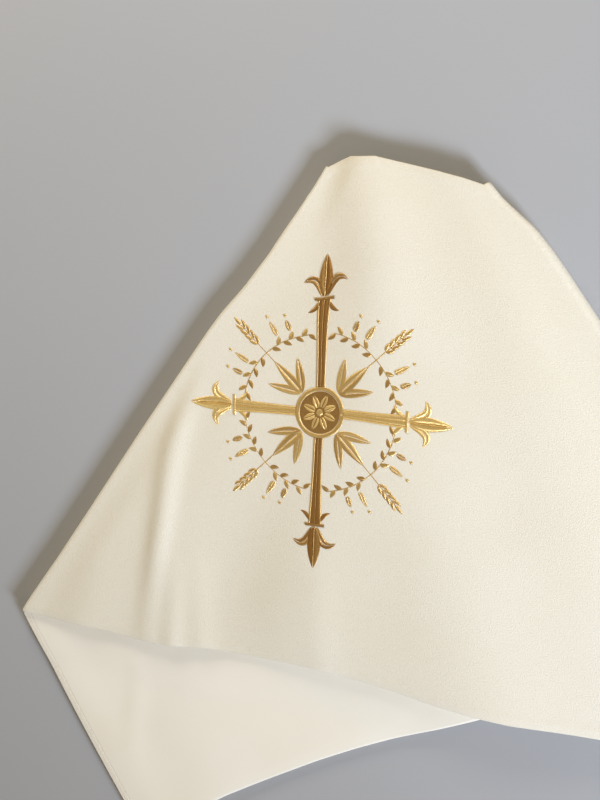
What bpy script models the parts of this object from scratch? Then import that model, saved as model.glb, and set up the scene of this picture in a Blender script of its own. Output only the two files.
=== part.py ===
"""Humeral veil: a long lined band of cloth, laid face up with both ends folded under.

The middle of the band lies uppermost. Each end turns under along a slanted fold, which makes the
sloping outline, then runs back and forth beneath in three layers. The left end shows its lining
below the lower edge. The outer cloth is one solid whose edges are turned in over the edges of the
lining, and the lining is a second solid inside that turned edge.

Metres, +Z up, +Y towards the neck edge, +X along the band. The origin is on the surface, under the
middle of the rectangle that the folded veil covers.
"""

import math

import bpy
import numpy as np

# ---- sizes of the sheets ----
BAND_LENGTH = 2.650
BAND_WIDTH = 0.600
OUTER_THICKNESS = 0.0012
LINING_THICKNESS = 0.0008
SHEET_GAP = 0.0004
HEM_BAND = 0.0090  # width of the outer cloth turned in over the lining
HEM_STEP = 0.0002  # run of the small step from the turned edge down to the lining's seat
LINING_CLEAR = 0.0010  # lining edge to turned edge

# ---- sizes of the folded stack ----
LAYER_PITCH = 0.0050
FOLD_INSET = 0.0060  # a lower fold stays this far inside the outline above it
UNDER_NARROWING = 0.033  # share by which the lowest layers draw in from the long edges
NARROW_ABOUT = 0.060  # the line up the band that they draw in towards
NECK_TUCK = 0.009  # how far every under layer lies in from the neck edge
ARC_STEPS = 4

HALF_W = BAND_WIDTH / 2
HALF_L = BAND_LENGTH / 2
OUTER_TOP = SHEET_GAP / 2 + OUTER_THICKNESS
LINING_TOP = SHEET_GAP / 2
LINING_BOTTOM = SHEET_GAP / 2 + LINING_THICKNESS
FOLD_RADIUS = LAYER_PITCH / 2

# First two folds of each end: distance from the motif's middle, along the band, where the fold
# crosses the lower edge and the upper edge. The third fold is the first one's mirror image.
END_FOLDS = {
    "left": {"side": -1, "slant": (0.368, 0.005), "square": (0.653, 0.653)},
    "right": {"side": 1, "slant": (0.662, 0.173), "square": (0.677, 0.677)},
}

# Columns of the grid: where each crosses the lower edge of the upper panel.
PANEL_COLUMNS = (
    -0.368, -0.335, -0.300, -0.268, -0.243, -0.224, -0.207, -0.193, -0.180, -0.167, -0.155,
    -0.142, -0.128, -0.110, -0.080, -0.040, 0.000, 0.040, 0.085, 0.130, 0.170, 0.215, 0.270,
    0.335, 0.410, 0.490, 0.575, 0.662,
)
# Steps along the three layers under each end.
UNDER_STEPS = {"left": (11, 10, 3), "right": (4, 4, 4)}
# Rows of the grid between the turned edges, from the lower edge to the upper.
INNER_ROWS = (-0.262, -0.215, -0.165, -0.110, -0.050, 0.015, 0.080, 0.145, 0.205, 0.258)

# Lower edge of the upper panel: along the band, and how far that edge strays from straight.
LOWER_EDGE = (
    (-0.370, 0.008), (-0.246, 0.005), (-0.212, 0.002), (-0.171, 0.002), (-0.146, 0.004),
    (-0.116, 0.007), (0.011, 0.008), (0.060, 0.006), (0.107, 0.002), (0.167, -0.005),
    (0.215, -0.009), (0.263, -0.011), (0.330, -0.009), (0.662, -0.004),
)
# Neck edge: along the band, and how far that edge strays from straight.
NECK_EDGE = (
    (-0.020, -0.012), (-0.004, -0.008), (0.010, 0.000), (0.022, 0.006), (0.050, 0.009),
    (0.070, 0.006), (0.092, 0.003), (0.120, -0.001), (0.150, -0.006), (0.184, -0.014),
    (0.230, -0.010),
)
# Left outline: height up the panel, and how far the outline strays sideways from straight.
LEFT_OUTLINE = (
    (-0.300, 0.006), (-0.220, 0.0045), (-0.125, 0.000), (-0.044, -0.004), (0.035, -0.006),
    (0.090, -0.0075), (0.114, -0.007), (0.150, -0.002), (0.192, -0.001), (0.235, -0.004),
    (0.270, -0.0065), (0.300, -0.0060),
)
# Right outline: the same.
RIGHT_OUTLINE = (
    (-0.300, 0.000), (-0.150, 0.006), (0.000, 0.010), (0.120, 0.011), (0.205, 0.012),
    (0.253, 0.012), (0.286, 0.001), (0.300, -0.003),
)
TAIL_LEAN = 0.21  # sideways drift of the hanging end per unit below the lower edge

# Folds of the upper panel. Points run down each crest: x, y, half width, height.
PANEL_FOLDS = {
    "neck crest": ((0.020, 0.330, 0.036, 0.0060), (0.038, 0.250, 0.040, 0.0080), (0.058, 0.180, 0.044, 0.0072), (0.076, 0.080, 0.060, 0.0020)),
    "long crest": ((0.080, 0.060, 0.080, 0.0020), (0.125, -0.060, 0.080, 0.0055), (0.180, -0.150, 0.080, 0.0075), (0.236, -0.320, 0.080, 0.0080)),
    "outline crest": ((-0.120, 0.060, 0.030, 0.0000), (-0.215, -0.100, 0.034, 0.0020), (-0.268, -0.200, 0.036, 0.0032), (-0.290, -0.320, 0.036, 0.0034)),
    "elbow crest": ((-0.128, 0.110, 0.020, 0.0000), (-0.150, 0.050, 0.018, 0.0032), (-0.165, -0.020, 0.016, 0.0062), (-0.176, -0.090, 0.014, 0.0074), (-0.184, -0.180, 0.013, 0.0068), (-0.189, -0.250, 0.014, 0.0034), (-0.193, -0.320, 0.015, 0.0012)),
    "elbow swell": ((-0.150, -0.040, 0.034, 0.0000), (-0.166, -0.180, 0.034, 0.0024), (-0.168, -0.320, 0.032, 0.0034)),
    "hem crest": ((-0.163, -0.160, 0.014, 0.0000), (-0.159, -0.230, 0.0135, 0.0025), (-0.156, -0.320, 0.012, 0.0036)),
    "short hem crest": ((-0.142, -0.150, 0.018, 0.0000), (-0.130, -0.220, 0.018, 0.0020), (-0.120, -0.320, 0.016, 0.0030)),
    "faint crest": ((0.015, -0.130, 0.022, 0.0000), (0.025, -0.210, 0.022, 0.0014), (0.034, -0.320, 0.022, 0.0018)),
    "waist trough": ((-0.080, -0.120, 0.060, 0.0000), (-0.070, -0.200, 0.055, -0.0020), (-0.060, -0.320, 0.050, -0.0025)),
    "shoulder crest": ((0.165, 0.270, 0.036, 0.0014), (0.215, 0.150, 0.044, 0.0036), (0.290, 0.000, 0.060, 0.0036), (0.380, -0.200, 0.080, 0.0020)),
}
# Folds of the lining panel that shows below the lower edge.
TAIL_FOLDS = {
    "hem swell": ((-0.330, -0.350, 0.034, 0.0018), (-0.240, -0.480, 0.036, 0.0022), (-0.180, -0.560, 0.036, 0.0020)),
    "soft crease": ((-0.206, -0.318, 0.009, 0.0006), (-0.222, -0.380, 0.010, 0.0016), (-0.236, -0.450, 0.012, 0.0008)),
    "inner swell": ((-0.120, -0.330, 0.060, 0.0016), (-0.140, -0.430, 0.056, 0.0030), (-0.130, -0.560, 0.050, 0.0030)),
}


def level(n):
    """Height of the sheets' middle in layer n, counted from the surface."""
    return OUTER_TOP + (n - 1) * LAYER_PITCH


def rise(v):
    """Smooth step from 0 to 1 as v goes from 0 to 1."""
    v = np.clip(v, 0.0, 1.0)
    return v * v * v * (v * (6 * v - 15) + 10)


def crest_height(x, y, points):
    """Height of one fold: a bell across, following its points along."""
    best = np.full(np.shape(x), np.inf)
    found = np.zeros(np.shape(x))
    for (x0, y0, w0, h0), (x1, y1, w1, h1) in zip(points[:-1], points[1:]):
        dx, dy = x1 - x0, y1 - y0
        span = dx * dx + dy * dy
        f = np.clip(((x - x0) * dx + (y - y0) * dy) / span, 0.0, 1.0)
        away = np.hypot(x - x0 - f * dx, y - y0 - f * dy)
        width = w0 + f * (w1 - w0)
        here = (h0 + f * (h1 - h0)) * np.exp(-((away / width) ** 2))
        nearer = away < best
        found = np.where(nearer, here, found)
        best = np.where(nearer, away, best)
    return found


def table_at(v, rows):
    return np.interp(v, [r[0] for r in rows], [r[1] for r in rows])


def reflection(at, normal):
    """Mirror in the line through at: matrix and shift."""
    turn = np.eye(2) - 2 * np.outer(normal, normal)
    return turn, 2 * np.dot(at, normal) * normal


class BandEnd:
    """One end of the band: its fold lines, and where each layer lies on the plane."""

    def __init__(self, side, slant, square):
        self.side = side
        radius, quarter = FOLD_RADIUS, math.pi * FOLD_RADIUS
        lean = math.hypot(1.0, (slant[1] - slant[0]) / BAND_WIDTH)
        inset = FOLD_INSET * lean
        back = tuple(2 * square[0] + quarter - s - inset for s in slant)
        self.lines = (slant, square, back)
        self.leans, self.normals, self.maps = [], [], [(np.eye(2), np.zeros(2))]
        for low, high in self.lines:
            along = np.array([high - low, BAND_WIDTH])
            lean = float(np.linalg.norm(along) / BAND_WIDTH)
            along /= np.linalg.norm(along)
            normal = np.array([along[1], -along[0]])
            at = np.array([low, -HALF_W])
            turn, shift = reflection(at, normal)
            matrix, offset = self.maps[-1]
            self.maps.append((matrix @ turn, matrix @ (shift + quarter * normal) + offset))
            self.leans.append(lean)
            self.normals.append(normal)
        self.radius = radius

    def line_at(self, fold, t):
        low, high = self.lines[fold]
        return low + (high - low) * (t + HALF_W) / BAND_WIDTH

    def on_plane(self, layer, u, t):
        matrix, offset = self.maps[layer]
        x = matrix[0, 0] * u + matrix[0, 1] * t + offset[0]
        y = matrix[1, 0] * u + matrix[1, 1] * t + offset[1]
        return self.side * x, y


ENDS = {name: BandEnd(**rows) for name, rows in END_FOLDS.items()}


def block_lift(x, y):
    """Rise of the left end's layers, and of the panel, over the right end's folded block."""
    right = ENDS["right"]
    corner = np.array(right.on_plane(1, right.line_at(1, HALF_W), HALF_W))
    far = np.array(right.on_plane(1, right.line_at(1, -HALF_W), -HALF_W))
    top = np.array(right.on_plane(1, right.line_at(0, HALF_W), HALF_W))
    low_dir = (far - corner) / np.linalg.norm(far - corner)
    side_dir = (top - corner) / np.linalg.norm(top - corner)
    above_low = -(x - corner[0]) * low_dir[1] + (y - corner[1]) * low_dir[0]
    inside_side = (x - corner[0]) * side_dir[1] - (y - corner[1]) * side_dir[0]
    return 2 * LAYER_PITCH * rise((above_low + 0.190) / 0.150) * rise((inside_side + 0.190) / 0.150)


def tail_droop(y):
    """Fall of the left end's layers to the surface, where nothing lies under them."""
    return -0.0045 * rise((-0.312 - y) / 0.060)


def layer_height(end, layer, x, y):
    if end == "right":
        return np.full(np.shape(x), level(4 - layer)) if layer else panel_height(x, y)
    if layer == 0:
        return panel_height(x, y)
    if layer == 3:
        return np.full(np.shape(x), level(1))
    height = level(4 - layer) + block_lift(x, y) + tail_droop(y)
    if layer == 1:
        shown = rise((-0.315 - y) / 0.030)
        height = height + shown * sum(crest_height(x, y, rows) for rows in TAIL_FOLDS.values())
    return height


def inside_slant(name, x, y):
    """Distance inside the sloping outline on one side."""
    end = ENDS[name]
    normal = end.normals[0]
    return -((end.side * x - end.lines[0][0]) * normal[0] + (y + HALF_W) * normal[1])


def panel_height(x, y):
    """Height of the upper panel: clear of the layers under it, with its crests and troughs."""
    left, right = inside_slant("left", x, y), inside_slant("right", x, y)
    free = rise(left / 0.045) * rise(right / 0.070)
    crown = 0.0035 * rise(left / 0.110) * rise(right / 0.160)
    neck_sag = -0.0030 * np.exp(-(((x - 0.095) / 0.045) ** 2)) * rise((y - 0.130) / 0.150)
    folds = sum(crest_height(x, y, rows) for rows in PANEL_FOLDS.values())
    return level(4) + block_lift(x, y) + crown + free * (folds + neck_sag)


def strayed(x, y):
    """The plane as it really lies: edges and outline a little off straight, the tail leaning."""
    share = np.clip((y + HALF_W) / BAND_WIDTH, 0.0, 1.0)
    dy = (1 - share) ** 3 * table_at(x, LOWER_EDGE) + share**3 * table_at(x, NECK_EDGE)
    left = np.abs(inside_slant("left", x, y))
    dx = table_at(y, LEFT_OUTLINE) * np.exp(-((left / 0.090) ** 2))
    right = np.abs(inside_slant("right", x, y))
    dx = dx + table_at(y, RIGHT_OUTLINE) * np.exp(-((right / 0.120) ** 2))
    below = -(y + HALF_W)
    dx = dx + TAIL_LEAN * 0.5 * (below + np.hypot(below, 0.020))
    return x + dx, y + dy


def neck_tuck(y, share):
    """How far an under layer (or share of the fold down to it) is drawn in at the neck."""
    return NECK_TUCK * rise((y - 0.200) / 0.090) * rise(share)


def column_points(spec, t):
    """Sheet-middle points of one grid column. spec: (end, kind, fold or layer, share)."""
    end_name, kind, index, share = spec
    if kind == "panel":
        left, right = ENDS["left"], ENDS["right"]
        x = (1 - share) * -left.line_at(0, t) + share * right.line_at(0, t)
        sx, sy = strayed(x, t)
        return np.stack([sx, sy, panel_height(x, t)], axis=1)
    end = ENDS[end_name]
    if kind == "arc":
        draw = (0.0, 0.0, 1.0)[index] * UNDER_NARROWING
        tt = NARROW_ABOUT + (t - NARROW_ABOUT) * (1 - draw)
        u = end.line_at(index, tt)
        fx, fy = end.on_plane(index, u, tt)
        upper, lower = (layer_height(end_name, index + k, fx, fy) for k in (0, 1))
        r = (upper - lower) / 2
        angle = math.pi * share
        matrix = end.maps[index][0]
        out = matrix @ end.normals[index]
        x = fx + end.side * out[0] * r * math.sin(angle)
        y = fy + out[1] * r * math.sin(angle)
        z = (upper + lower) / 2 + r * math.cos(angle)
        sx, sy = strayed(fx, fy)
        sy = sy - neck_tuck(fy, share if index == 0 else 1.0)
        return np.stack([sx + x - fx, sy + y - fy, z], axis=1)
    # A layer under the panel: from the end of fold index-1 to the next fold, or to the end.
    draw = (0.0, 0.0, share, 1.0)[index] * UNDER_NARROWING
    tt = NARROW_ABOUT + (t - NARROW_ABOUT) * (1 - draw)
    start = end.line_at(index - 1, tt) + math.pi * end.radius * end.leans[index - 1]
    stop = end.line_at(index, tt) if index < 3 else np.full(np.shape(tt), HALF_L)
    u = start + share * (stop - start)
    x, y = end.on_plane(index, u, tt)
    sx, sy = strayed(x, y)
    sy = sy - neck_tuck(y, 1.0)
    return np.stack([sx, sy, layer_height(end_name, index, x, y)], axis=1)


def end_columns(name, steps, arc_steps, last_edge):
    """Column specs from the panel's outline out to the end of the band."""
    specs = []
    for fold in range(3):
        specs += [(name, "arc", fold, k / arc_steps) for k in range(1, arc_steps)]
        layer = fold + 1
        count = steps[fold]
        stops = [k / count for k in range(count + 1)]
        if layer == 3:
            stops = [s for s in stops[:-1]] + list(last_edge)
        specs += [(name, "layer", layer, s) for s in stops]
    return specs


def sheet_middle(columns, rows):
    """Points and normals of the sheets' common middle, row by column."""
    points = np.stack([column_points(spec, rows) for spec in columns], axis=1)
    across = np.gradient(points, axis=1)
    up = np.gradient(points, axis=0)
    normals = np.cross(across, up)
    normals /= np.linalg.norm(normals, axis=2, keepdims=True)
    return points, normals


def closed_sheet(top, bottom):
    """Vertices and quads of the closed body between two grids that share their edges' order."""
    rows, cols = top.shape[:2]
    vertices = np.concatenate([top.reshape(-1, 3), bottom.reshape(-1, 3)])
    under = rows * cols
    faces, smooth = [], []
    for r in range(rows - 1):
        for c in range(cols - 1):
            a, b = r * cols + c, r * cols + c + 1
            d, e = a + cols, b + cols
            faces += [(a, b, e, d), (under + a, under + d, under + e, under + b)]
            smooth += [True, True]
    rim = [c for c in range(cols)]
    rim += [r * cols + cols - 1 for r in range(1, rows)]
    rim += [(rows - 1) * cols + c for c in range(cols - 2, -1, -1)]
    rim += [r * cols for r in range(rows - 2, 0, -1)]
    for i, a in enumerate(rim):
        b = rim[(i + 1) % len(rim)]
        faces.append((a, under + a, under + b, b))
        smooth.append(False)
    return vertices, faces, smooth


def edge_stops(name, layer_span, distances):
    """Shares of the last layer at given distances from the band's end, on the middle row."""
    return [1 - d / layer_span for d in distances]


def all_columns(inset):
    """Column specs for a sheet whose ends stop at the given distances from the band's end."""
    spans = {}
    for name, end in ENDS.items():
        start = end.line_at(2, 0.0) + math.pi * end.radius * end.leans[2]
        spans[name] = HALF_L - start
    stops = {n: edge_stops(n, spans[n], inset) for n in ENDS}
    left = end_columns("left", UNDER_STEPS["left"], ARC_STEPS, stops["left"])[::-1]
    right = end_columns("right", UNDER_STEPS["right"], ARC_STEPS, stops["right"])
    low, high = PANEL_COLUMNS[0], PANEL_COLUMNS[-1]
    middle = [("", "panel", 0, (c - low) / (high - low)) for c in PANEL_COLUMNS]
    return left + middle + right


def sheet_object(name, top, bottom, shift, colour, roughness):
    vertices, faces, smooth = closed_sheet(top, bottom)
    vertices = vertices - shift
    vertices[np.abs(vertices[:, 2]) < 1e-7, 2] = 0.0
    mesh = bpy.data.meshes.new(name)
    mesh.from_pydata([tuple(map(float, v)) for v in vertices], [], faces)
    mesh.update()
    mesh.polygons.foreach_set("use_smooth", smooth)
    material = bpy.data.materials.new(name)
    material.use_nodes = True
    shader = material.node_tree.nodes["Principled BSDF"]
    shader.inputs["Base Color"].default_value = (*colour, 1.0)
    shader.inputs["Roughness"].default_value = roughness
    mesh.materials.append(material)
    obj = bpy.data.objects.new(name, mesh)
    bpy.context.scene.collection.objects.link(obj)
    return obj


def build():
    for obj in list(bpy.data.objects):
        bpy.data.objects.remove(obj, do_unlink=True)

    turned = (HEM_BAND + HEM_STEP, HEM_BAND, 0.0)
    rows = np.array(
        [-HALF_W, -HALF_W + HEM_BAND, -HALF_W + HEM_BAND + HEM_STEP, *INNER_ROWS,
         HALF_W - HEM_BAND - HEM_STEP, HALF_W - HEM_BAND, HALF_W]
    )
    points, normals = sheet_middle(all_columns(turned), rows)
    depth = np.full(points.shape[:2], LINING_TOP)
    depth[:2], depth[-2:], depth[:, :2], depth[:, -2:] = (-LINING_BOTTOM,) * 4
    outer_top = points + OUTER_TOP * normals
    outer_bottom = points + depth[..., None] * normals

    edge = HEM_BAND + HEM_STEP + LINING_CLEAR
    rows = np.array([-HALF_W + edge, *INNER_ROWS, HALF_W - edge])
    points, normals = sheet_middle(all_columns((edge,)), rows)
    lining_top = points - LINING_TOP * normals
    lining_bottom = points - LINING_BOTTOM * normals

    both = np.concatenate([outer_top.reshape(-1, 3), outer_bottom.reshape(-1, 3)])
    low, high = both.min(axis=0), both.max(axis=0)
    shift = np.array([(low[0] + high[0]) / 2, (low[1] + high[1]) / 2, 0.0])

    sheet_object("outer_cloth", outer_top, outer_bottom, shift, (0.86, 0.81, 0.68), 0.55)
    sheet_object("lining", lining_top, lining_bottom, shift, (0.83, 0.77, 0.62), 0.50)


build()
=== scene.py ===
"""Looks for the folded humeral veil: fine cloth, lining, gold needlework, floor, light and camera."""

import math

import bpy
import numpy as np
from mathutils import Matrix, Vector


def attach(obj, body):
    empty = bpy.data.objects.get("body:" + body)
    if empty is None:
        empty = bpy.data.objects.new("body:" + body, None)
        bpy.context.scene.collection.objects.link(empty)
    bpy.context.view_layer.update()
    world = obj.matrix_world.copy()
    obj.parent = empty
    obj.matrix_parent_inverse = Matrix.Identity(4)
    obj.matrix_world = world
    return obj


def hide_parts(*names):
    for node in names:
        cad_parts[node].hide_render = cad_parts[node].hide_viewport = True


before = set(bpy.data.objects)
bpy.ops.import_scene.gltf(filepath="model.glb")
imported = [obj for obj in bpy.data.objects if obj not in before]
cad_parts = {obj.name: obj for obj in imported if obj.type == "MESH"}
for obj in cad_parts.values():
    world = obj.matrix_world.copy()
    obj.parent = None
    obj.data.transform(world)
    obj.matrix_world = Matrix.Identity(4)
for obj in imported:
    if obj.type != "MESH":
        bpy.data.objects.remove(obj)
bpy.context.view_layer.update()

# ---------------------------------------------------------------- sizes, in metres
BAND_LENGTH = 2.650
BAND_WIDTH = 0.600
OUTER_THICKNESS = 0.0012
LINING_THICKNESS = 0.0008
SHEET_GAP = 0.0004
HEM_BAND = 0.0090
HEM_STEP = 0.0002
LINING_CLEAR = 0.0010
LAYER_PITCH = 0.0050
FOLD_INSET = 0.0060
UNDER_NARROWING = 0.033
NARROW_ABOUT = 0.060
NECK_TUCK = 0.009
HALF_W = BAND_WIDTH / 2
HALF_L = BAND_LENGTH / 2
OUTER_TOP = SHEET_GAP / 2 + OUTER_THICKNESS
LINING_TOP = SHEET_GAP / 2
LINING_BOTTOM = SHEET_GAP / 2 + LINING_THICKNESS
FOLD_RADIUS = LAYER_PITCH / 2
ORIGIN = np.array([0.15385, -0.11907, 0.0])  # the row's origin, from the motif's middle line

END_FOLDS = {
    "left": {"side": -1, "slant": (0.368, 0.005), "square": (0.653, 0.653)},
    "right": {"side": 1, "slant": (0.662, 0.173), "square": (0.677, 0.677)},
}
LOWER_EDGE = (
    (-0.370, 0.008), (-0.246, 0.005), (-0.212, 0.002), (-0.171, 0.002), (-0.146, 0.004),
    (-0.116, 0.007), (0.011, 0.008), (0.060, 0.006), (0.107, 0.002), (0.167, -0.005),
    (0.215, -0.009), (0.263, -0.011), (0.330, -0.009), (0.662, -0.004),
)
NECK_EDGE = (
    (-0.020, -0.012), (-0.004, -0.008), (0.010, 0.000), (0.022, 0.006), (0.050, 0.009),
    (0.070, 0.006), (0.092, 0.003), (0.120, -0.001), (0.150, -0.006), (0.184, -0.014),
    (0.230, -0.010),
)
LEFT_OUTLINE = (
    (-0.300, 0.006), (-0.220, 0.0045), (-0.125, 0.000), (-0.044, -0.004), (0.035, -0.006),
    (0.090, -0.0075), (0.114, -0.007), (0.150, -0.002), (0.192, -0.001), (0.235, -0.004),
    (0.270, -0.0065), (0.300, -0.0060),
)
RIGHT_OUTLINE = (
    (-0.300, 0.000), (-0.150, 0.006), (0.000, 0.010), (0.120, 0.011), (0.205, 0.012),
    (0.253, 0.012), (0.286, 0.001), (0.300, -0.003),
)
TAIL_LEAN = 0.21
PANEL_FOLDS = {
    "neck crest": ((0.020, 0.330, 0.036, 0.0060), (0.038, 0.250, 0.040, 0.0080), (0.058, 0.180, 0.044, 0.0072), (0.076, 0.080, 0.060, 0.0020)),
    "long crest": ((0.080, 0.060, 0.080, 0.0020), (0.125, -0.060, 0.080, 0.0055), (0.180, -0.150, 0.080, 0.0075), (0.236, -0.320, 0.080, 0.0080)),
    "outline crest": ((-0.120, 0.060, 0.030, 0.0000), (-0.215, -0.100, 0.034, 0.0020), (-0.268, -0.200, 0.036, 0.0032), (-0.290, -0.320, 0.036, 0.0034)),
    "elbow crest": ((-0.128, 0.110, 0.020, 0.0000), (-0.150, 0.050, 0.018, 0.0032), (-0.165, -0.020, 0.016, 0.0062), (-0.176, -0.090, 0.014, 0.0074), (-0.184, -0.180, 0.013, 0.0068), (-0.189, -0.250, 0.014, 0.0034), (-0.193, -0.320, 0.015, 0.0012)),
    "elbow swell": ((-0.150, -0.040, 0.034, 0.0000), (-0.166, -0.180, 0.034, 0.0024), (-0.168, -0.320, 0.032, 0.0034)),
    "hem crest": ((-0.163, -0.160, 0.014, 0.0000), (-0.159, -0.230, 0.0135, 0.0025), (-0.156, -0.320, 0.012, 0.0036)),
    "short hem crest": ((-0.142, -0.150, 0.018, 0.0000), (-0.130, -0.220, 0.018, 0.0020), (-0.120, -0.320, 0.016, 0.0030)),
    "faint crest": ((0.015, -0.130, 0.022, 0.0000), (0.025, -0.210, 0.022, 0.0014), (0.034, -0.320, 0.022, 0.0018)),
    "waist trough": ((-0.080, -0.120, 0.060, 0.0000), (-0.070, -0.200, 0.055, -0.0020), (-0.060, -0.320, 0.050, -0.0025)),
    "shoulder crest": ((0.165, 0.270, 0.036, 0.0014), (0.215, 0.150, 0.044, 0.0036), (0.290, 0.000, 0.060, 0.0036), (0.380, -0.200, 0.080, 0.0020)),
}
TAIL_FOLDS = {
    "hem swell": ((-0.330, -0.350, 0.034, 0.0018), (-0.240, -0.480, 0.036, 0.0022), (-0.180, -0.560, 0.036, 0.0020)),
    "soft crease": ((-0.206, -0.318, 0.009, 0.0006), (-0.222, -0.380, 0.010, 0.0016), (-0.236, -0.450, 0.012, 0.0008)),
    "inner swell": ((-0.120, -0.330, 0.060, 0.0016), (-0.140, -0.430, 0.056, 0.0030), (-0.130, -0.560, 0.050, 0.0030)),
}

# Grid of the fine sheets.
PANEL_COUNT = 172
UNDER_STEPS = {"left": (30, 16, 10), "right": (12, 12, 12)}
ARC_STEPS = 8
ROW_STEP = 0.0068


# ---------------------------------------------------------------- the shape of the folded band
def level(n):
    return OUTER_TOP + (n - 1) * LAYER_PITCH


def rise(v):
    v = np.clip(v, 0.0, 1.0)
    return v * v * v * (v * (6 * v - 15) + 10)


def crest_height(x, y, points):
    best = np.full(np.shape(x), np.inf)
    found = np.zeros(np.shape(x))
    for (x0, y0, w0, h0), (x1, y1, w1, h1) in zip(points[:-1], points[1:]):
        dx, dy = x1 - x0, y1 - y0
        span = dx * dx + dy * dy
        f = np.clip(((x - x0) * dx + (y - y0) * dy) / span, 0.0, 1.0)
        away = np.hypot(x - x0 - f * dx, y - y0 - f * dy)
        width = w0 + f * (w1 - w0)
        here = (h0 + f * (h1 - h0)) * np.exp(-((away / width) ** 2))
        nearer = away < best
        found = np.where(nearer, here, found)
        best = np.where(nearer, away, best)
    return found


def table_at(v, rows):
    return np.interp(v, [r[0] for r in rows], [r[1] for r in rows])


def reflection(at, normal):
    turn = np.eye(2) - 2 * np.outer(normal, normal)
    return turn, 2 * np.dot(at, normal) * normal


class BandEnd:
    def __init__(self, side, slant, square):
        self.side = side
        quarter = math.pi * FOLD_RADIUS
        lean = math.hypot(1.0, (slant[1] - slant[0]) / BAND_WIDTH)
        back = tuple(2 * square[0] + quarter - s - FOLD_INSET * lean for s in slant)
        self.lines = (slant, square, back)
        self.leans, self.normals, self.maps = [], [], [(np.eye(2), np.zeros(2))]
        for low, high in self.lines:
            along = np.array([high - low, BAND_WIDTH])
            self.leans.append(float(np.linalg.norm(along) / BAND_WIDTH))
            along /= np.linalg.norm(along)
            normal = np.array([along[1], -along[0]])
            turn, shift = reflection(np.array([low, -HALF_W]), normal)
            matrix, offset = self.maps[-1]
            self.maps.append((matrix @ turn, matrix @ (shift + quarter * normal) + offset))
            self.normals.append(normal)

    def line_at(self, fold, t):
        low, high = self.lines[fold]
        return low + (high - low) * (t + HALF_W) / BAND_WIDTH

    def on_plane(self, layer, u, t):
        matrix, offset = self.maps[layer]
        x = matrix[0, 0] * u + matrix[0, 1] * t + offset[0]
        y = matrix[1, 0] * u + matrix[1, 1] * t + offset[1]
        return self.side * x, y


ENDS = {name: BandEnd(**rows) for name, rows in END_FOLDS.items()}


def block_lift(x, y):
    right = ENDS["right"]
    corner = np.array(right.on_plane(1, right.line_at(1, HALF_W), HALF_W))
    far = np.array(right.on_plane(1, right.line_at(1, -HALF_W), -HALF_W))
    top = np.array(right.on_plane(1, right.line_at(0, HALF_W), HALF_W))
    low_dir = (far - corner) / np.linalg.norm(far - corner)
    side_dir = (top - corner) / np.linalg.norm(top - corner)
    above_low = -(x - corner[0]) * low_dir[1] + (y - corner[1]) * low_dir[0]
    inside_side = (x - corner[0]) * side_dir[1] - (y - corner[1]) * side_dir[0]
    return 2 * LAYER_PITCH * rise((above_low + 0.190) / 0.150) * rise((inside_side + 0.190) / 0.150)


def tail_droop(y):
    return -0.0045 * rise((-0.312 - y) / 0.060)


def layer_height(end, layer, x, y):
    if end == "right":
        return np.full(np.shape(x), level(4 - layer)) if layer else panel_height(x, y)
    if layer == 0:
        return panel_height(x, y)
    if layer == 3:
        return np.full(np.shape(x), level(1))
    height = level(4 - layer) + block_lift(x, y) + tail_droop(y)
    if layer == 1:
        shown = rise((-0.315 - y) / 0.030)
        height = height + shown * sum(crest_height(x, y, rows) for rows in TAIL_FOLDS.values())
    return height


def inside_slant(name, x, y):
    end = ENDS[name]
    normal = end.normals[0]
    return -((end.side * x - end.lines[0][0]) * normal[0] + (y + HALF_W) * normal[1])


def panel_height(x, y):
    left, right = inside_slant("left", x, y), inside_slant("right", x, y)
    free = rise(left / 0.045) * rise(right / 0.070)
    crown = 0.0035 * rise(left / 0.110) * rise(right / 0.160)
    neck_sag = -0.0030 * np.exp(-(((x - 0.095) / 0.045) ** 2)) * rise((y - 0.130) / 0.150)
    folds = sum(crest_height(x, y, rows) for rows in PANEL_FOLDS.values())
    return level(4) + block_lift(x, y) + crown + free * (folds + neck_sag)


def strayed(x, y):
    share = np.clip((y + HALF_W) / BAND_WIDTH, 0.0, 1.0)
    dy = (1 - share) ** 3 * table_at(x, LOWER_EDGE) + share**3 * table_at(x, NECK_EDGE)
    left = np.abs(inside_slant("left", x, y))
    dx = table_at(y, LEFT_OUTLINE) * np.exp(-((left / 0.090) ** 2))
    right = np.abs(inside_slant("right", x, y))
    dx = dx + table_at(y, RIGHT_OUTLINE) * np.exp(-((right / 0.120) ** 2))
    below = -(y + HALF_W)
    dx = dx + TAIL_LEAN * 0.5 * (below + np.hypot(below, 0.020))
    return x + dx, y + dy


def neck_tuck(y, share):
    return NECK_TUCK * rise((y - 0.200) / 0.090) * rise(share)


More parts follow.
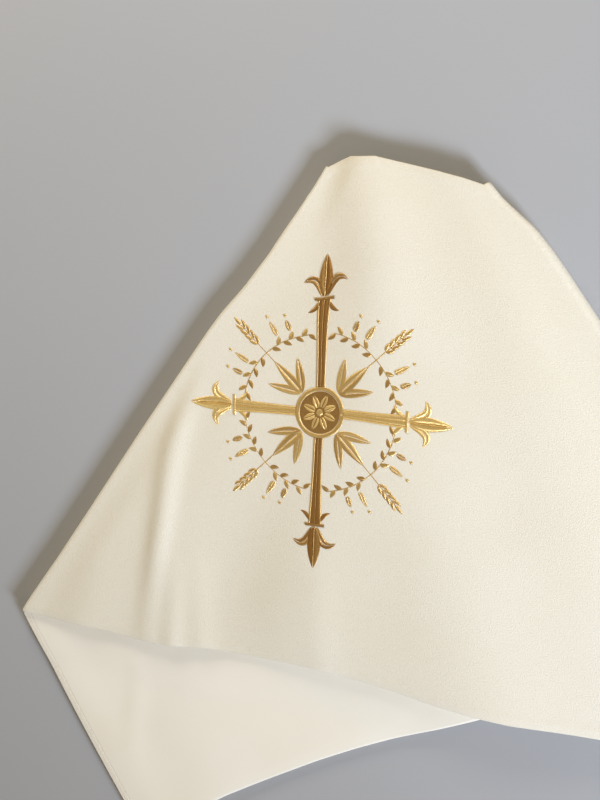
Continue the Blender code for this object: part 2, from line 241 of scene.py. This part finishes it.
def column_points(spec, t):
    """Points and flat places along the band (for the cloth's own texture) of one grid column."""
    end_name, kind, index, share = spec
    if kind == "panel":
        left, right = ENDS["left"], ENDS["right"]
        x = (1 - share) * -left.line_at(0, t) + share * right.line_at(0, t)
        sx, sy = strayed(x, t)
        return np.stack([sx, sy, panel_height(x, t)], axis=1), x
    end = ENDS[end_name]
    if kind == "arc":
        draw = (0.0, 0.0, 1.0)[index] * UNDER_NARROWING
        tt = NARROW_ABOUT + (t - NARROW_ABOUT) * (1 - draw)
        u = end.line_at(index, tt)
        fx, fy = end.on_plane(index, u, tt)
        upper, lower = (layer_height(end_name, index + k, fx, fy) for k in (0, 1))
        r = (upper - lower) / 2
        angle = math.pi * share
        out = end.maps[index][0] @ end.normals[index]
        x = fx + end.side * out[0] * r * math.sin(angle)
        y = fy + out[1] * r * math.sin(angle)
        z = (upper + lower) / 2 + r * math.cos(angle)
        sx, sy = strayed(fx, fy)
        sy = sy - neck_tuck(fy, share if index == 0 else 1.0)
        flat = end.side * (u + share * math.pi * FOLD_RADIUS * end.leans[index])
        return np.stack([sx + x - fx, sy + y - fy, z], axis=1), flat
    draw = (0.0, 0.0, share, 1.0)[index] * UNDER_NARROWING
    tt = NARROW_ABOUT + (t - NARROW_ABOUT) * (1 - draw)
    start = end.line_at(index - 1, tt) + math.pi * FOLD_RADIUS * end.leans[index - 1]
    stop = end.line_at(index, tt) if index < 3 else np.full(np.shape(tt), HALF_L)
    u = start + share * (stop - start)
    x, y = end.on_plane(index, u, tt)
    sx, sy = strayed(x, y)
    sy = sy - neck_tuck(y, 1.0)
    return np.stack([sx, sy, layer_height(end_name, index, x, y)], axis=1), end.side * u


def end_columns(name, steps, last_edge):
    specs = []
    for fold in range(3):
        specs += [(name, "arc", fold, k / ARC_STEPS) for k in range(1, ARC_STEPS)]
        layer = fold + 1
        stops = [k / steps[fold] for k in range(steps[fold] + 1)]
        if layer == 3:
            stops = stops[:-1] + list(last_edge)
        specs += [(name, "layer", layer, s) for s in stops]
    return specs


def all_columns(inset):
    stops = {}
    for name, end in ENDS.items():
        start = end.line_at(2, 0.0) + math.pi * FOLD_RADIUS * end.leans[2]
        stops[name] = [1 - d / (HALF_L - start) for d in inset]
    left = end_columns("left", UNDER_STEPS["left"], stops["left"])[::-1]
    right = end_columns("right", UNDER_STEPS["right"], stops["right"])
    middle = [("", "panel", 0, k / PANEL_COUNT) for k in range(PANEL_COUNT + 1)]
    return left + middle + right


def sheet_middle(columns, rows):
    made = [column_points(spec, rows) for spec in columns]
    points = np.stack([m[0] for m in made], axis=1)
    flat = np.stack([m[1] for m in made], axis=1)
    normals = np.cross(np.gradient(points, axis=1), np.gradient(points, axis=0))
    normals /= np.linalg.norm(normals, axis=2, keepdims=True)
    return points, normals, flat


def inner_rows(edge):
    """Rows from just inside one long edge to just inside the other, closer together near them."""
    near = [0.0, 0.0007, 0.0035, 0.0090]
    low = [-HALF_W + edge + d for d in near]
    high = [HALF_W - edge - d for d in near[::-1]]
    count = int(round((high[0] - low[-1]) / ROW_STEP))
    middle = [low[-1] + (high[0] - low[-1]) * k / count for k in range(1, count)]
    return low + middle + high


# ---------------------------------------------------------------- meshes
def grid_mesh(name, top, bottom, flat, rows):
    """Closed sheet between two grids, with a UV map of its flat place in metres."""
    n_rows, n_cols = top.shape[:2]
    vertices = np.concatenate([top.reshape(-1, 3), bottom.reshape(-1, 3)]) - ORIGIN
    vertices[:, 2] = np.maximum(vertices[:, 2], 0.0)
    under = n_rows * n_cols
    r, c = np.meshgrid(np.arange(n_rows - 1), np.arange(n_cols - 1), indexing="ij")
    a = (r * n_cols + c).ravel()
    upper = np.stack([a, a + 1, a + n_cols + 1, a + n_cols], axis=1)
    lower = upper[:, ::-1] + under
    rim = list(range(n_cols)) + [k * n_cols + n_cols - 1 for k in range(1, n_rows)]
    rim += [(n_rows - 1) * n_cols + k for k in range(n_cols - 2, -1, -1)]
    rim += [k * n_cols for k in range(n_rows - 2, 0, -1)]
    rim = np.array(rim)
    nxt = np.roll(rim, -1)
    wall = np.stack([rim, rim + under, nxt + under, nxt], axis=1)
    faces = np.concatenate([upper, lower, wall])
    mesh = bpy.data.meshes.new(name)
    mesh.from_pydata(vertices.tolist(), [], faces.tolist())
    mesh.update()
    uv = np.stack([flat, np.broadcast_to(rows[:, None], flat.shape)], axis=2).reshape(-1, 2)
    uv = np.concatenate([uv, uv])
    layer = mesh.uv_layers.new(name="flat")
    layer.data.foreach_set("uv", uv[faces.ravel()].astype(np.float32).ravel())
    inside = mesh.attributes.new("inside", "FLOAT", "POINT")
    inside.data.foreach_set("value", np.repeat([0.0, 1.0], under).astype(np.float32))
    smooth = np.ones(len(faces), bool)
    mesh.polygons.foreach_set("use_smooth", smooth)
    obj = bpy.data.objects.new(name, mesh)
    bpy.context.scene.collection.objects.link(obj)
    return obj


def outer_sheet():
    turned = (HEM_BAND + HEM_STEP, HEM_BAND, HEM_BAND - 0.0005, 0.0045, 0.0010, 0.0)
    edge = [0.0, 0.0010, 0.0045, HEM_BAND - 0.0005, HEM_BAND]
    rows = [-HALF_W + d for d in edge] + inner_rows(HEM_BAND + HEM_STEP)
    rows += [HALF_W - d for d in edge[::-1]]
    rows = np.array(rows)
    points, normals, flat = sheet_middle(all_columns(turned), rows)
    depth = np.full(points.shape[:2], LINING_TOP)
    depth[:5], depth[-5:], depth[:, :5], depth[:, -5:] = (-LINING_BOTTOM,) * 4
    depth[4, 4:-4], depth[-5, 4:-4], depth[4:-4, 4], depth[4:-4, -5] = (0.0002 - LINING_BOTTOM,) * 4
    height = np.full(points.shape[:2], OUTER_TOP)
    # The turned edge is a soft roll, with a shallow line where it is caught down.
    for rank, drop in enumerate((0.00045, 0.00012, 0.0)):
        for cut in (np.s_[rank], np.s_[-1 - rank], np.s_[:, rank], np.s_[:, -1 - rank]):
            height[cut] = np.minimum(height[cut], OUTER_TOP - drop)
    top = points + height[..., None] * normals
    bottom = points + depth[..., None] * normals
    return grid_mesh("veil_cloth", top, bottom, flat, rows)


def lining_sheet():
    edge = HEM_BAND + HEM_STEP + LINING_CLEAR - 0.0008
    rows = np.array(inner_rows(edge))
    points, normals, flat = sheet_middle(all_columns((edge,)), rows)
    top = points - LINING_TOP * normals
    bottom = points - LINING_BOTTOM * normals
    return grid_mesh("veil_lining", top, bottom, flat, rows)


# ---------------------------------------------------------------- gold needlework
MOTIF_AT = (0.007, 0.013)
MOTIF_TURN = math.radians(2.6)
MM = 0.001
MOTIF_MM = 1.03 * MM


class Needlework:
    """Satin-stitched ribbons in the motif's own millimetres, laid on the panel's upper face."""

    def __init__(self):
        self.vertices, self.faces, self.uv, self.tone = [], [], [], []

    def place(self, ex, ey, h):
        c, s = math.cos(MOTIF_TURN), math.sin(MOTIF_TURN)
        x = MOTIF_AT[0] + (c * ex - s * ey) * MOTIF_MM
        y = MOTIF_AT[1] + (s * ex + c * ey) * MOTIF_MM
        e = 0.0008
        sx, sy = strayed(x, y)
        z = panel_height(x, y)
        ax, ay = strayed(x + e, y)
        bx, by = strayed(x, y + e)
        du = np.stack([ax - sx, ay - sy, panel_height(x + e, y) - z], axis=-1)
        dv = np.stack([bx - sx, by - sy, panel_height(x, y + e) - z], axis=-1)
        n = np.cross(du, dv)
        n /= np.linalg.norm(n, axis=-1, keepdims=True)
        return np.stack([sx, sy, z], axis=-1) + n * (OUTER_TOP + h * MM)[..., None] - ORIGIN

    def ribbon(self, path, half, height, tone, closed=False, across=6, shift=0.0):
        """path: points; half: half width per point; height: loft of the stitches; shift: sideways."""
        p = np.array(path, float)
        half = np.broadcast_to(np.array(half, float), len(p)).copy()
        d = np.roll(p, -1, axis=0) - np.roll(p, 1, axis=0) if closed else np.gradient(p, axis=0)
        d /= np.maximum(np.linalg.norm(d, axis=1, keepdims=True), 1e-9)
        side = np.stack([-d[:, 1], d[:, 0]], axis=1)
        step = np.linalg.norm(np.diff(p, axis=0), axis=1)
        run = np.concatenate([[0.0], np.cumsum(step)])
        v = np.linspace(-1.0, 1.0, across + 1)
        ex = p[:, 0:1] + side[:, 0:1] * (v[None] * half[:, None] + shift)
        ey = p[:, 1:2] + side[:, 1:2] * (v[None] * half[:, None] + shift)
        loft = height * np.minimum(1.0, half / max(half.max(), 1e-6) * 1.4)[:, None]
        h = loft * np.sqrt(np.maximum(0.0, 1 - v[None] ** 2)) ** 0.8 - 0.12 * (np.abs(v[None]) == 1)
        points = self.place(ex, ey, h)
        base = len(self.vertices)
        n, m = points.shape[:2]
        self.vertices += points.reshape(-1, 3).tolist()
        uv = np.stack([np.broadcast_to(run[:, None], (n, m)), v[None] * half[:, None]], axis=2)
        self.uv += (uv.reshape(-1, 2) * MM).tolist()
        self.tone += [tone] * (n * m)
        for i in range(n if closed else n - 1):
            j = (i + 1) % n
            for k in range(m - 1):
                self.faces.append((base + i * m + k + 1, base + i * m + k, base + j * m + k, base + j * m + k + 1))

    def disc(self, cx, cy, radius, height, tone, rings=5):
        """A round of filling stitches: threads run along the motif's x."""
        base = len(self.vertices)
        count = max(10, int(radius * 2.4))
        r = np.linspace(0.0, 1.0, rings + 1)
        a = np.arange(count) * 2 * math.pi / count
        ex = cx + radius * r[:, None] * np.cos(a)[None]
        ey = cy + radius * r[:, None] * np.sin(a)[None]
        h = height * np.sqrt(np.maximum(0.0, 1 - r[:, None] ** 4)) * np.ones_like(a)[None]
        h = h - 0.12 * (r[:, None] == 1)
        points = self.place(ex, ey, h)
        self.vertices += points.reshape(-1, 3).tolist()
        self.uv += (np.stack([ex - cx, ey - cy], axis=2).reshape(-1, 2) * MM).tolist()
        self.tone += [tone] * (points.shape[0] * points.shape[1])
        for i in range(rings):
            for k in range(count):
                l = (k + 1) % count
                self.faces.append((base + i * count + k, base + (i + 1) * count + k, base + (i + 1) * count + l, base + i * count + l))

    def leaf(self, start, control, end, half, height, tone, vein=True, n=11):
        """A pointed leaf along a bent spine, in two halves with a vein between."""
        f = np.linspace(0.0, 1.0, n)[:, None]
        p0, p1, p2 = (np.array(q, float) for q in (start, control, end))
        path = (1 - f) ** 2 * p0 + 2 * f * (1 - f) * p1 + f**2 * p2
        f = f[:, 0]
        width = half * np.sin(math.pi * f**0.8) ** 0.75 + 0.10
        if not vein:
            self.ribbon(path, width, height, tone, across=4)
            return
        d = np.gradient(path, axis=0)
        d /= np.linalg.norm(d, axis=1, keepdims=True)
        side = np.stack([-d[:, 1], d[:, 0]], axis=1)
        # One half is painted lighter and the other darker: painted light and shade across the vein.
        for s, extra in ((1, 0.10), (-1, -0.06)):
            self.ribbon(path + s * side * (width / 2 + 0.15)[:, None], width / 2, height, tone + extra, across=4)


def turned(points, angle):
    c, s = math.cos(angle), math.sin(angle)
    return [(c * x - s * y, s * x + c * y) for x, y in points]


def needlework():
    gold = Needlework()
    # Middle: a round of filling with an eight-petalled rosette inside a satin ring.
    gold.disc(0, 0, 25.8, 0.35, 0.16)
    ring = [(27.0 * math.cos(a), 27.0 * math.sin(a)) for a in np.arange(72) * math.pi / 36]
    gold.ribbon(ring, 2.6, 0.9, 0.62, closed=True)
    for k in range(8):
        a = k * math.pi / 4 + math.pi / 8
        p = turned([(5.5, 0), (13, 0), (21.5, 0)], a)
        gold.leaf(p[0], p[1], p[2], 3.9, 0.9, 0.80)
    gold.disc(0, 0, 4.6, 1.2, 0.70, rings=4)
    # Arms: a satin bar between two cords, flaring to a lily.
    # The horizontal arms get a light tone and the vertical arms a dark one. This is painted light and shade, for how
    # their cross-wise stitches catch the lamp. The cords, middle line, bars, lilies and leaves of each arm follow from
    # it.
    arms = ((0.0, 100.0, 0.88), (math.pi / 2, 128.0, 0.12), (math.pi, 100.0, 0.88), (-math.pi / 2, 128.0, 0.12))
    for angle, reach, tone in arms:
        n = 40
        r = np.linspace(29.0, reach, n)
        f = (r - r[0]) / (r[-1] - r[0])
        flare = 4.4 + 2.2 * f**2
        for s in (1, -1):
            gold.ribbon(turned(list(zip(r, s * flare)), angle), 1.05, 0.9, 0.70 * tone + 0.34, across=4)
            gold.ribbon(turned(list(zip(r, s * (flare - 1.0) / 2)), angle), (flare - 1.0) / 2, 0.8, tone - 0.04)
        gold.ribbon(turned(list(zip(r, 0 * r)), angle), 0.55, 1.1, 0.75 * tone + 0.18, across=4)
        gold.ribbon(turned([(reach + 1.5, y) for y in np.linspace(-11.5, 11.5, 14)], angle), 1.9, 1.0, tone + 0.06)
        lily = (((reach + 4, 0), (reach + 26, 0), (reach + 52.5, 0), 8.0),)
        for a, b, c, w in lily:
            p = turned([a, b, c], angle)
            gold.leaf(p[0], p[1], p[2], w, 1.3, tone, n=19)
            gold.ribbon([tuple(q) for q in np.linspace(p[0], p[2], 14)[:-2]], 0.55, 1.5, 0.70 * tone + 0.30, across=3)
        for s in (1, -1):
            p = turned([(reach + 3.5, s * 3.0), (reach + 33, s * 9.0), (reach + 20, s * 26.0)], angle)
            gold.leaf(p[0], p[1], p[2], 4.6, 0.95, tone + 0.05, n=15)
            p = turned([(reach - 1.0, s * 5.0), (reach - 12, s * 9.0), (reach - 14, s * 18.0)], angle)
            gold.leaf(p[0], p[1], p[2], 2.6, 0.8, tone, vein=False)
    # Angles: a palmette, then a wreath of small leaves, then an ear of wheat.
    for k in range(4):
        a = math.pi / 4 + k * math.pi / 2
        for turn, reach, half in ((0.0, 78.0, 6.4), (0.46, 64.0, 5.0), (-0.46, 64.0, 5.0)):
            p = turned([(31, 0), (46, 26 * turn), (reach, 52 * turn)], a)
            # Leaves bent one way are painted lighter and those bent the other way darker: painted light and shade.
            gold.leaf(p[0], p[1], p[2], half, 0.9, 0.55 + 0.2 * turn, n=15)
        stem = np.radians(np.linspace(-36, 36, 37)) + a
        gold.ribbon([(90 * math.cos(b), 90 * math.sin(b)) for b in stem], 0.55, 0.45, 0.40, across=3)
        for i, deg in enumerate(np.arange(-35, 36, 5.0)):
            if abs(deg) < 4:
                continue
            way = 1 if deg > 0 else -1
            b = a + math.radians(deg)
            root = (90 * math.cos(b), 90 * math.sin(b))
            lift = 1 if i % 2 else -1
            dirn = b + way * math.pi / 2 - way * lift * 0.75
            tip = (root[0] + 11.0 * math.cos(dirn), root[1] + 11.0 * math.sin(dirn))
            mid = (root[0] + 5.5 * math.cos(dirn - 0.25 * lift), root[1] + 5.5 * math.sin(dirn - 0.25 * lift))
            # Leaves tipped one way and the other alternate lighter and darker: painted light and shade.
            gold.leaf(root, mid, tip, 2.7, 0.7, 0.45 + 0.12 * lift, vein=False, n=7)
        gold.ribbon(turned([(r, 0) for r in np.linspace(76, 134, 18)], a), 0.6, 0.45, 0.40, across=3)
        for i, r in enumerate((104.0, 111.5, 119.0, 126.5)):
            for s in (1, -1):
                p = turned([(r, s * 0.6), (r + 5.0, s * 4.6), (r + 11.0, s * 4.4)], a)
                # The two sides of the ear are painted lighter and darker: painted light and shade.
                gold.leaf(p[0], p[1], p[2], 1.9, 0.8, 0.55 + 0.1 * s, vein=False, n=7)
        for way in (-0.40, -0.24, 0.24, 0.40):
            far = 118.0 if abs(way) < 0.3 else 112.0
            p = turned([(99.0, 0), (105.0, 0), (far, 0)], a + way)
            gold.leaf(p[0], p[1], p[2], 2.9, 0.8, 0.66 if abs(way) < 0.3 else 0.40, n=9)
            x, y = turned([(far + 5.5, 0)], a + way)[0]
            gold.disc(x, y, 1.9, 0.9, 0.72, rings=3)
        p = turned([(132.0, 0), (138.0, 0), (145.0, 0)], a)
        gold.leaf(p[0], p[1], p[2], 2.1, 0.8, 0.6, vein=False, n=7)
    mesh = bpy.data.meshes.new("gold_cross")
    mesh.from_pydata(gold.vertices, [], gold.faces)
    mesh.update()
    loops = np.empty(len(mesh.loops), np.int32)
    mesh.loops.foreach_get("vertex_index", loops)
    layer = mesh.uv_layers.new(name="thread")
    layer.data.foreach_set("uv", np.array(gold.uv, np.float32)[loops].ravel())
    # Per-vertex painted light and shade of the gold: 0 is the shaded dark gold, 1 the lit light gold.
    tone = mesh.attributes.new("tone", "FLOAT", "POINT")
    tone.data.foreach_set("value", np.array(gold.tone, np.float32))
    mesh.polygons.foreach_set("use_smooth", [True] * len(mesh.polygons))
    obj = bpy.data.objects.new("gold_cross", mesh)
    bpy.context.scene.collection.objects.link(obj)
    return obj


# ---------------------------------------------------------------- materials
class Nodes:
    def __init__(self, name):
        self.material = bpy.data.materials.new(name)
        self.material.use_nodes = True
        self.tree = self.material.node_tree
        self.shader = self.tree.nodes["Principled BSDF"]

    def add(self, kind, **settings):
        node = self.tree.nodes.new(kind)
        for key, value in settings.items():
            if key in node.inputs:
                self.put(node.inputs[key], value)
            else:
                setattr(node, key, value)
        return node

    def put(self, socket, value):
        if isinstance(value, bpy.types.NodeSocket):
            self.tree.links.new(value, socket)
        else:
            socket.default_value = value

    def math(self, operation, a, b=None, clamp=False):
        node = self.tree.nodes.new("ShaderNodeMath")
        node.operation, node.use_clamp = operation, clamp
        self.put(node.inputs[0], a)
        if b is not None:
            self.put(node.inputs[1], b)
        return node.outputs[0]

    def scaled(self, vector, factor):
        node = self.tree.nodes.new("ShaderNodeVectorMath")
        node.operation = "MULTIPLY"
        self.put(node.inputs[0], vector)
        node.inputs[1].default_value = factor
        return node.outputs[0]

    def noise(self, vector, scale, detail=2.0, rough=0.5, distortion=0.0):
        node = self.tree.nodes.new("ShaderNodeTexNoise")
        self.put(node.inputs["Vector"], vector)
        node.inputs["Scale"].default_value = scale
        node.inputs["Detail"].default_value = detail
        node.inputs["Roughness"].default_value = rough
        node.inputs["Distortion"].default_value = distortion
        return node.outputs[0]

    def mix(self, factor, a, b):
        node = self.tree.nodes.new("ShaderNodeMix")
        node.data_type = "RGBA"
        self.put(node.inputs[0], factor)
        self.put(node.inputs[6], a)
        self.put(node.inputs[7], b)
        return node.outputs[2]

    def bump(self, height, distance, strength=1.0, under=None):
        node = self.tree.nodes.new("ShaderNodeBump")
        node.inputs["Strength"].default_value = strength
        node.inputs["Distance"].default_value = distance
        self.put(node.inputs["Height"], height)
        if under is not None:
            self.put(node.inputs["Normal"], under)
        return node.outputs[0]

    def set(self, **values):
        for key, value in values.items():
            self.put(self.shader.inputs[key.replace("_", " ")], value)


def cloth_material():
    m = Nodes("ivory_crepe")
    uv = m.add("ShaderNodeUVMap", uv_map="flat").outputs[0]
    split = m.add("ShaderNodeSeparateXYZ")
    m.put(split.inputs[0], uv)
    grain = m.noise(uv, 760.0, 2.0, 0.6)
    coarse = m.noise(m.scaled(uv, (1.0, 1.25, 1.0)), 430.0, 2.0, 0.5)
    broad = m.noise(uv, 7.0, 1.0, 0.5)
    height = m.math("ADD", m.math("MULTIPLY", grain, 0.6), m.math("MULTIPLY", coarse, 0.5))
    # The line where the turned edge is caught down, with its small puckers.
    away = m.math("ABSOLUTE", m.math("SUBTRACT", m.math("ABSOLUTE", split.outputs[1]), 0.2915))
    line = m.math("SUBTRACT", 1.0, m.math("MULTIPLY", away, 1 / 0.0016), clamp=True)
    near = m.math("SUBTRACT", 1.0, m.math("MULTIPLY", away, 1 / 0.0075), clamp=True)
    pucker = m.noise(m.scaled(uv, (95.0, 12.0, 1.0)), 1.0, 1.0, 0.5)
    hem = m.math("ADD", m.math("MULTIPLY", line, -0.10), m.math("MULTIPLY", m.math("MULTIPLY", near, near), m.math("MULTIPLY", pucker, 0.9)))
    fine = m.bump(height, 0.00080, 1.0)
    normal = m.bump(hem, 0.0009, 0.9, fine)
    tint = m.math("ADD", m.math("MULTIPLY", grain, 0.5), m.math("MULTIPLY", broad, 0.5))
    colour = m.mix(tint, (0.805, 0.728, 0.545, 1), (0.903, 0.855, 0.738, 1))
    # The turned-in band on the lining side: a pinker back of the cloth, with its slanted weave.
    inside = m.add("ShaderNodeAttribute", attribute_name="inside").outputs["Fac"]
    slant = m.math("SINE", m.math("MULTIPLY", m.math("ADD", split.outputs[0], split.outputs[1]), 2 * math.pi / 0.0034))
    twill = m.mix(m.math("ADD", m.math("MULTIPLY", slant, 0.25), grain), (0.880, 0.805, 0.660, 1), (0.930, 0.870, 0.745, 1))
    colour = m.mix(inside, colour, twill)
    m.set(Base_Color=colour, Normal=normal, Roughness=0.46)
    m.shader.inputs["Specular IOR Level"].default_value = 0.42
    m.shader.inputs["Sheen Weight"].default_value = 0.22
    m.shader.inputs["Sheen Roughness"].default_value = 0.45
    m.shader.inputs["Sheen Tint"].default_value = (1.0, 0.96, 0.88, 1)
    return m.material


def lining_material():
    m = Nodes("cream_lining")
    uv = m.add("ShaderNodeUVMap", uv_map="flat").outputs[0]
    fine = m.noise(m.scaled(uv, (1.0, 0.35, 1.0)), 900.0, 1.0, 0.5)
    broad = m.noise(uv, 9.0, 2.0, 0.5)
    slack = m.noise(m.scaled(uv, (10.0, 5.0, 1.0)), 1.0, 2.0, 0.5)
    normal = m.bump(slack, 0.0060, 0.5, m.bump(fine, 0.00008, 0.6))
    colour = m.mix(broad, (0.925, 0.855, 0.702, 1), (0.955, 0.900, 0.775, 1))
    m.set(Base_Color=colour, Normal=normal, Roughness=0.40)
    m.shader.inputs["Specular IOR Level"].default_value = 0.40
    m.shader.inputs["Sheen Weight"].default_value = 0.10
    return m.material


def gold_material():
    m = Nodes("gold_thread")
    uv = m.add("ShaderNodeUVMap", uv_map="thread").outputs[0]
    split = m.add("ShaderNodeSeparateXYZ")
    m.put(split.inputs[0], uv)
    # Each motif's painted light and shade: a mix from a shaded dark gold to a lit light gold, for how the direction of
    # its stitches catches the lamp.
    tone = m.add("ShaderNodeAttribute", attribute_name="tone").outputs["Fac"]
    wander = m.noise(m.scaled(uv, (900.0, 160.0, 1.0)), 1.0, 2.0, 0.6)
    thread = m.math("SINE", m.math("MULTIPLY", split.outputs[0], 2 * math.pi / 0.0011))
    ply = m.math("ADD", m.math("MULTIPLY", thread, 0.5), wander)
    dark = m.mix(wander, (0.200, 0.075, 0.010, 1), (0.400, 0.180, 0.030, 1))
    light = m.mix(wander, (0.820, 0.470, 0.090, 1), (1.000, 0.820, 0.390, 1))
    colour = m.mix(tone, dark, light)
    normal = m.bump(ply, 0.00022, 0.75)
    m.set(Base_Color=colour, Normal=normal, Roughness=0.30)
    m.shader.inputs["Metallic"].default_value = 0.55
    m.shader.inputs["Anisotropic"].default_value = 0.6
    tangent = m.add("ShaderNodeTangent", direction_type="UV_MAP", uv_map="thread")
    m.put(m.shader.inputs["Tangent"], tangent.outputs[0])
    return m.material


# ---------------------------------------------------------------- stage
def floor():
    mesh = bpy.data.meshes.new("floor")
    mesh.from_pydata([(-6, -6, 0), (6, -6, 0), (6, 6, 0), (-6, 6, 0)], [], [(0, 1, 2, 3)])
    mesh.update()
    obj = bpy.data.objects.new("floor", mesh)
    obj.location.z = -0.0002
    bpy.context.scene.collection.objects.link(obj)
    m = Nodes("floor_plain")
    place = m.add("ShaderNodeTexCoord").outputs["Object"]
    m.set(Base_Color=m.mix(m.noise(place, 3.0, 2.0), (0.410, 0.410, 0.410, 1), (0.430, 0.430, 0.430, 1)), Roughness=0.75)
    mesh.materials.append(m.material)
    return obj


def area_light(name, at, target, size, power, colour, spread=180.0):
    light = bpy.data.lights.new(name, "AREA")
    light.shape, light.size, light.size_y = "RECTANGLE", size[0], size[1]
    light.energy, light.color = power, colour
    light.spread = math.radians(spread)
    obj = bpy.data.objects.new(name, light)
    obj.location = at
    obj.rotation_euler = (Vector(target) - Vector(at)).to_track_quat("-Z", "Y").to_euler()
    bpy.context.scene.collection.objects.link(obj)
    return obj


def camera():
    """Looks down on the panel, a little from the right and the neck side."""
    tilt, way, roll, away = math.radians(20.0), math.radians(30.0), math.radians(4.8), 1.846
    target = Vector((-0.020, 0.024, 0.022)) - Vector(ORIGIN.tolist())
    out = Vector((math.sin(tilt) * math.cos(way), math.sin(tilt) * math.sin(way), math.cos(tilt)))
    right = (-out).cross(Vector((0, 1, 0))).normalized()
    up = right.cross(-out)
    r = right * math.cos(roll) + up * math.sin(roll)
    u = -right * math.sin(roll) + up * math.cos(roll)
    data = bpy.data.cameras.new("camera")
    data.sensor_fit, data.sensor_height, data.lens = "VERTICAL", 24.0, 48.0
    data.clip_start, data.clip_end = 0.05, 50.0
    obj = bpy.data.objects.new("camera", data)
    turn = Matrix((r, u, out)).transposed().to_4x4()
    obj.matrix_world = Matrix.Translation(target + out * away) @ turn
    bpy.context.scene.collection.objects.link(obj)
    bpy.context.scene.camera = obj
    return obj


def build():
    cloth, lining, gold = outer_sheet(), lining_sheet(), needlework()
    cloth.data.materials.append(cloth_material())
    lining.data.materials.append(lining_material())
    gold.data.materials.append(gold_material())
    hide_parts("outer_cloth")
    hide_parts("lining")
    for obj in (cloth, lining, gold):
        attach(obj, "root")
    ground = floor()
    lights = [
        area_light("key", (2.25, -1.36, 1.60), (-0.05, 0.80, 0.0), (0.85, 0.85), 30.5, (0.72, 0.815, 1.0), 80.0),
        area_light("fill", (-0.8, 1.85, 0.90), (0.0, 0.1, 0.0), (1.2, 0.7), 23.0, (0.96, 0.90, 0.80)),
        area_light("rim", (-1.6, 0.1, 0.42), (-0.1, 0.0, 0.0), (1.2, 0.5), 1.6, (0.86, 0.93, 1.0)),
    ]
    world = bpy.data.worlds.new("studio")
    world.use_nodes = True
    world.node_tree.nodes["Background"].inputs[0].default_value = (1.0, 0.84, 0.60, 1)
    world.node_tree.nodes["Background"].inputs[1].default_value = 0.30
    bpy.context.scene.world = world
    bpy.context.scene.view_settings.view_transform = "Standard"
    camera()
    return lights


build()
